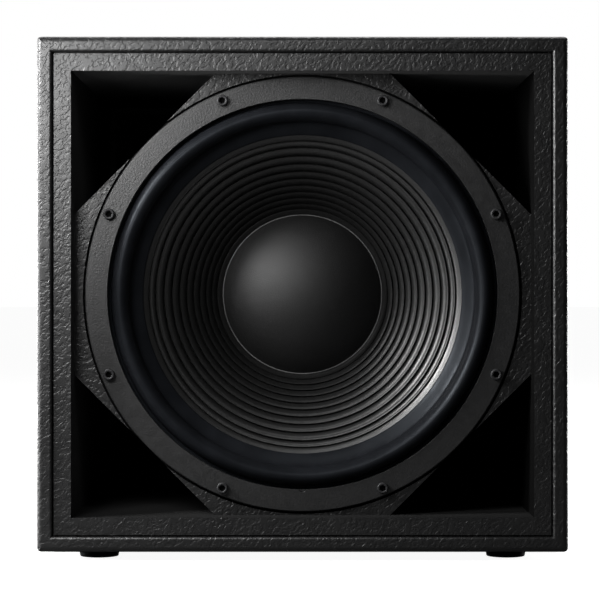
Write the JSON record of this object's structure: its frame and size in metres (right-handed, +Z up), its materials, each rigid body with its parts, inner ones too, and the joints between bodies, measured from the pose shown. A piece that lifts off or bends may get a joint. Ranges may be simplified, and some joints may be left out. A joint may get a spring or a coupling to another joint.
{
  "type": "ported subwoofer",
  "caption": "Plywood ported subwoofer with a long-throw cone driver set back on an eight-sided baffle and a triangular port in each corner.",
  "frame": {"origin": "on the ground under the middle of the box", "axes": "+Z up, -Y out of the front (the side with the driver), +X to the right of someone facing the front"},
  "size_m": [0.468, 0.52, 0.4625],
  "materials": {
    "textured_paint": "plywood under sprayed black coating with a pebbled texture",
    "matt_black_paint": "plywood rolled with smooth matt black paint",
    "bare_plywood": "unpainted birch plywood",
    "foam": "open-cell acoustic foam",
    "foot_rubber": "moulded rubber, satin",
    "zinc_steel": "zinc-plated steel",
    "black_screws": "black-oxide steel",
    "driver_bolts": "black-oxide cap screws, satin with worn rims",
    "powder_coated_steel": "fine-textured black powder coat",
    "powder_coated_ring": "dark-grey fine-textured powder coat, matt",
    "cast_frame": "cast aluminium under black powder coat",
    "gasket_foam": "closed-cell sealing foam",
    "socket_plastic": "glass-filled nylon, dark blue",
    "red_wire": "red insulation",
    "black_wire": "black insulation",
    "grip_rubber": "ribbed rubber sleeve on a steel bar",
    "surround_rubber": "butyl rubber, satin, faintly blue-grey",
    "cone_paper": "pressed black paper with concentric ribs, lightly glossed",
    "dust_cap_paper": "pressed black paper dome, satin",
    "former_film": "polyimide film",
    "copper_winding": "enamelled copper wire",
    "spider_cloth": "resin-dipped cloth",
    "ferrite": "sintered ferrite, matt",
    "terminal_fibre": "pressed fibre board",
    "terminal_brass": "tinned brass tabs",
    "tinsel_braid": "braided tinsel lead"
  },
  "bodies": {
    "cabinet": {"top_panel": "textured_paint", "bottom_panel": "textured_paint", "left_side_panel": "textured_paint", "right_side_panel": "textured_paint", "rear_panel": "textured_paint", "top_liner": "matt_black_paint", "bottom_liner": "matt_black_paint", "left_liner": "matt_black_paint", "right_liner": "matt_black_paint", "baffle": "textured_paint", "port_board_top_left": "matt_black_paint", "port_board_top_right": "matt_black_paint", "port_board_bottom_left": "matt_black_paint", "port_board_bottom_right": "matt_black_paint", "cross_brace": "bare_plywood", "rear_foam": "foam", "foot_front_left": "foot_rubber", "foot_front_right": "foot_rubber", "foot_rear_left": "foot_rubber", "foot_rear_right": "foot_rubber", "foot_washers": "zinc_steel", "foot_screws": "black_screws", "input_plate": "powder_coated_steel", "input_plate_gasket": "gasket_foam", "input_plate_screws": "black_screws", "input_socket": "socket_plastic", "link_socket": "socket_plastic", "socket_screws": "black_screws", "link_wires": "red_wire", "input_wire_positive": "red_wire", "input_wire_negative": "black_wire", "left_handle_cup": "powder_coated_steel", "right_handle_cup": "powder_coated_steel", "left_handle_grip": "grip_rubber", "right_handle_grip": "grip_rubber", "handle_screws": "black_screws", "pole_socket_tube": "powder_coated_steel", "pole_socket_flange": "powder_coated_steel", "pole_socket_screws": "black_screws", "driver_basket": "cast_frame", "driver_gasket": "gasket_foam", "driver_clamp_ring": "powder_coated_ring", "driver_screws": "driver_bolts", "driver_tee_nuts": "zinc_steel", "surround": "surround_rubber", "spider": "spider_cloth", "motor_screws": "black_screws", "top_plate": "zinc_steel", "magnet": "ferrite", "back_plate": "zinc_steel", "vent_mesh": "black_screws", "terminal_board": "terminal_fibre", "terminal_tabs": "terminal_brass", "tinsel_lead_positive": "tinsel_braid", "tinsel_lead_negative": "tinsel_braid"},
    "cone_assembly": {"cone": "cone_paper", "dust_cap": "dust_cap_paper", "voice_coil_former": "former_film", "voice_coil": "copper_winding"}
  },
  "joints": [
    {"name": "cone_stroke", "type": "slide", "parent": "cabinet", "child": "cone_assembly", "axis": [0, -1, 0], "range_m": [-0.008, 0.008], "stiffness_N_per_m": 8000, "deforming": ["surround", "spider", "tinsel_lead_positive", "tinsel_lead_negative"]}
  ]
}
